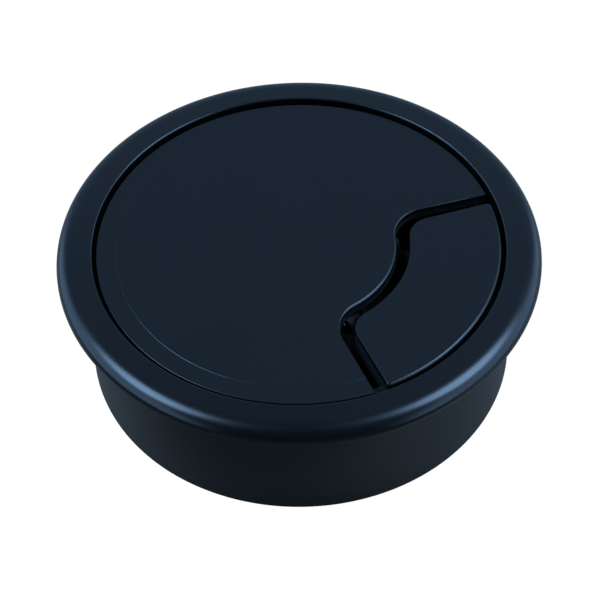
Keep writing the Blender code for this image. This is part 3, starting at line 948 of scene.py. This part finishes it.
class GROMMET_OT_set_stage(bpy.types.Operator):
    """Sets the floor, the lamps, the room light and the camera"""

    bl_idname = "grommet.set_stage"
    bl_label = "Set stage"

    def execute(self, context):
        stage = context.scene.grommet.stage
        self.floor(stage)
        self.table(stage)
        self.lamp(stage, "left_lamp", stage.left_turn, stage.left_elevation, stage.left_size)
        self.lamp(stage, "right_lamp", stage.right_turn, stage.right_elevation, stage.right_size)
        self.room(context.scene, stage)
        self.camera(context.scene, stage)
        context.scene.view_settings.view_transform = "Standard"
        return {"FINISHED"}

    @staticmethod
    def direction(azimuth, elevation):
        """The way to a point round the grommet, with azimuth 0 on the -Y side."""
        level = math.cos(elevation)
        return Vector((math.sin(azimuth) * level, -math.cos(azimuth) * level, math.sin(elevation)))

    @staticmethod
    def spread(points, name):
        """A piece of the stage, turned about Z from a profile of (radius, height) points."""
        corners = [(radius, height, 0.0) for radius, height in points]
        item = new_object(turned(corners, STAGE_SEGMENTS, closed=False), name)
        item.data.shade_smooth()
        material, shader, paint = new_finish(name, 0.0)
        shader.inputs["Roughness"].default_value = 1.0
        shader.inputs["Specular IOR Level"].default_value = 0.0
        item.data.materials.append(material)
        return item, shader, paint

    def floor(self, stage):
        """A pale floor that the camera alone sees. It curves up far out and is open under the sleeve."""
        size, curve = stage.floor_size, stage.floor_curve
        rise = arc((size, curve), curve, -math.pi / 2, 0.0, ARC_STEPS)
        points = [(stage.floor_opening, 0.0), *rise, (size + curve, stage.floor_wall)]
        floor, shader, _ = self.spread(points, "floor")
        shader.inputs["Base Color"].default_value = BLACK
        shader.inputs["Emission Color"].default_value = WHITE
        shader.inputs["Emission Strength"].default_value = stage.floor_glow
        floor.visible_glossy = False
        floor.visible_diffuse = False
        floor.visible_shadow = False

    def table(self, stage):
        """A table just under the floor that the plastic mirrors, with painted shade: darker in front of the
        grommet, and a dark disc under the sleeve.
        """
        opening = (stage.floor_opening, -stage.table_gap)
        # Painted shade: a dark disc under the sleeve, seen through the slot, stands in for the shade inside
        # the sleeve
        _, painted_shade_disc, _ = self.spread([(0.0, -stage.table_gap), opening], "painted_shade_disc")
        painted_shade_disc.inputs["Base Color"].default_value = (*stage.painted_shade_under_sleeve, 1.0)
        _, shader, paint = self.spread([opening, (stage.floor_size, -stage.table_gap)], "table")
        # Painted shade: a ramp towards the camera darkens the table's colour in front of the grommet
        way = self.direction(stage.camera_azimuth - stage.painted_shade_turn, 0.0)
        painted_shade_mask = paint.ramp(paint.along(paint.place(), way), stage.painted_shade_start, stage.painted_shade_end)
        paint.feed(shader, {"Base Color": paint.blend(painted_shade_mask, stage.table, stage.painted_shade_front)})

    def lamp(self, stage, name, turned_by, elevation, size):
        """A round soft lamp above the grommet, turned to the left from straight behind."""
        light = bpy.data.lights.new(name, "AREA")
        light.shape = "DISK"
        light.size = size
        light.energy = stage.lamp_power * size * size
        light.color = stage.light_colour
        way = self.direction(stage.camera_azimuth + math.pi + turned_by, elevation)
        lamp = bpy.data.objects.new(name, light)
        lamp.location = Vector((0.0, 0.0, stage.camera_target)) + way * stage.lamp_distance
        lamp.rotation_euler = way.to_track_quat("Z", "Y").to_euler()
        bpy.context.scene.collection.objects.link(lamp)

    def room(self, scene, stage):
        """Dim room light: brightest at the sides, less bright behind, and dark overhead and in front."""
        world = bpy.data.worlds.new("room")
        world.use_nodes = True
        paint = Paint(world.node_tree)
        way = paint.node("ShaderNodeTexCoord", {}, {}, "Generated")
        behind = self.direction(stage.camera_azimuth + math.pi, stage.back_elevation)
        beside = self.direction(stage.camera_azimuth + math.pi / 2, 0.0)
        across = paint.along(way, beside)
        back = paint.ramp(paint.along(way, behind), math.cos(stage.back_start), math.cos(stage.back_full))
        side = paint.ramp(across * across, math.sin(stage.side_start) ** 2, math.sin(stage.side_full) ** 2)
        level = stage.front_level + (stage.back_level - stage.front_level) * back + stage.side_level * side
        background = world.node_tree.nodes["Background"]
        background.inputs["Color"].default_value = (*stage.light_colour, 1.0)
        paint.feed(background, {"Strength": level})
        scene.world = world

    def camera(self, scene, stage):
        """The camera where the photograph was taken from."""
        data = bpy.data.cameras.new("camera")
        data.lens = stage.focal_pixels / PICTURE * data.sensor_width
        data.clip_start = MM
        back = self.direction(stage.camera_azimuth, stage.camera_elevation)
        right = Vector((math.cos(stage.camera_azimuth), math.sin(stage.camera_azimuth), 0.0))
        upward = back.cross(right)
        turned_to = Matrix((right, upward, back)).transposed()
        turned_to @= Matrix.Rotation(-stage.camera_pan, 3, "Y")
        turned_to @= Matrix.Rotation(stage.camera_tilt, 3, "X")
        turned_to @= Matrix.Rotation(stage.camera_roll, 3, "Z")
        camera = bpy.data.objects.new("camera", data)
        place = Vector((0.0, 0.0, stage.camera_target)) + back * stage.camera_distance
        camera.matrix_world = Matrix.Translation(place) @ turned_to.to_4x4()
        scene.collection.objects.link(camera)
        scene.camera = camera


class GROMMET_PT_build(bpy.types.Panel):
    """Lists the steps that make the grommet and their sizes"""

    bl_label = "Desk grommet"
    bl_idname = "GROMMET_PT_build"
    bl_space_type = "VIEW_3D"
    bl_region_type = "UI"
    bl_category = "Grommet"

    def draw(self, context):
        layout = self.layout
        for operator in STEPS:
            layout.operator(operator.bl_idname)
        for name in GROUPS:
            box = layout.box()
            group = getattr(context.scene.grommet, name)
            for key in group.bl_rna.properties.keys():
                if key not in ("rna_type", "name"):
                    box.prop(group, key)


STEPS = (
    GROMMET_OT_make_liner,
    GROMMET_OT_make_cover,
    GROMMET_OT_make_flap,
    GROMMET_OT_make_pin,
    GROMMET_OT_make_spring,
    GROMMET_OT_set_stage,
)
GROUPS = ("liner", "cover", "flap", "hinge", "finish", "stage")
CLASSES = (
    LinerSizes,
    CoverSizes,
    FlapSizes,
    HingeSizes,
    Finishes,
    StageSettings,
    GrommetSettings,
    *STEPS,
    GROMMET_PT_build,
)


def register():
    for item in CLASSES:
        bpy.utils.register_class(item)
    bpy.types.Scene.grommet = PointerProperty(type=GrommetSettings)


def unregister():
    del bpy.types.Scene.grommet
    for item in reversed(CLASSES):
        bpy.utils.unregister_class(item)


def main():
    register()
    bpy.ops.grommet.make_liner()
    bpy.ops.grommet.make_cover()
    bpy.ops.grommet.make_flap()
    bpy.ops.grommet.make_pin()
    bpy.ops.grommet.make_spring()
    bpy.ops.grommet.set_stage()


if __name__ == "__main__":
    main()
